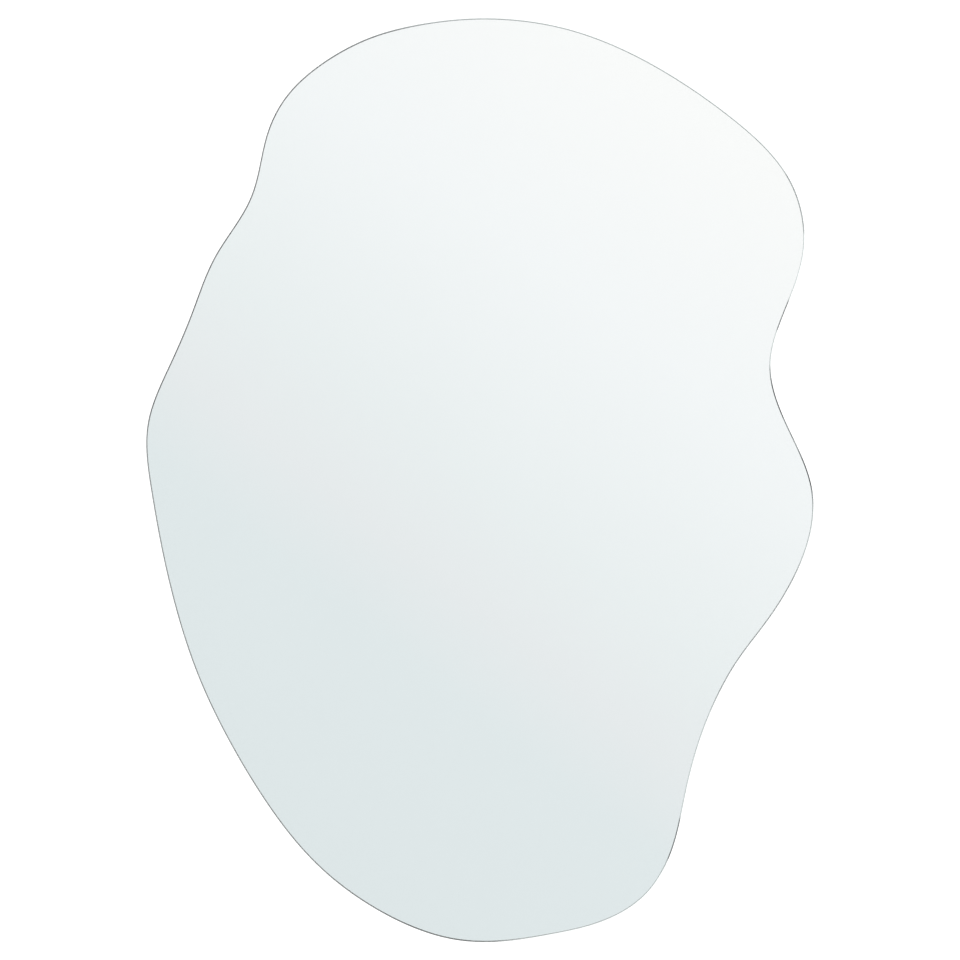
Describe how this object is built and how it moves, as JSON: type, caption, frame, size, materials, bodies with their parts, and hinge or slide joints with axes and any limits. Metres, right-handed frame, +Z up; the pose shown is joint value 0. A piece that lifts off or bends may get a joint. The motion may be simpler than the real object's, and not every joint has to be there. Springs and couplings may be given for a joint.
{
  "type": "irregular shaped mirror",
  "caption": "Frameless free-form wall mirror with a polished edge, bonded to a contour board that hangs on wall screws by flush keyhole plates, upright or on its side.",
  "frame": {"origin": "back face of the backing board, midway between the entry holes of the two upright keyhole plates", "axes": "+Z up as the mirror hangs upright, the glass looks along -Y and the wall is on the +Y side, +X to the right as seen from the front"},
  "size_m": [0.65, 0.0214, 0.9],
  "materials": {
    "glass": "clear float glass with a faint green tint, flat polished edge and polished arris",
    "silver": "bright silver seen through the glass",
    "paint": "matt grey-green backing paint over the silver",
    "film": "milky woven safety film stuck over the paint",
    "foam": "white closed-cell foam with adhesive on both sides",
    "adhesive": "translucent cured mirror adhesive",
    "board": "plain fibreboard with routed seats and a bevelled back edge",
    "hanger_steel": "bright zinc-plated pressed steel",
    "screw_steel": "zinc-plated steel with a faint yellow tone",
    "bumper_rubber": "matt dark grey rubber"
  },
  "bodies": {
    "root": {"mirror_glass": "glass", "silver_coating": "silver", "backing_paint": "paint", "safety_film": "film", "foam_tape_1": "foam", "foam_tape_2": "foam", "foam_tape_3": "foam", "foam_tape_4": "foam", "adhesive_bead_1": "adhesive", "adhesive_bead_2": "adhesive", "adhesive_bead_3": "adhesive", "backing_board": "board", "upright_hanger_left": "hanger_steel", "upright_hanger_right": "hanger_steel", "sideways_hanger_upper": "hanger_steel", "sideways_hanger_lower": "hanger_steel", "upright_screws_left": "screw_steel", "upright_screws_right": "screw_steel", "sideways_screws_upper": "screw_steel", "sideways_screws_lower": "screw_steel", "bumper_upper_left": "bumper_rubber", "bumper_lower_left": "bumper_rubber", "bumper_lower_right": "bumper_rubber", "bumper_upper_right": "bumper_rubber"}
  },
  "joints": []
}
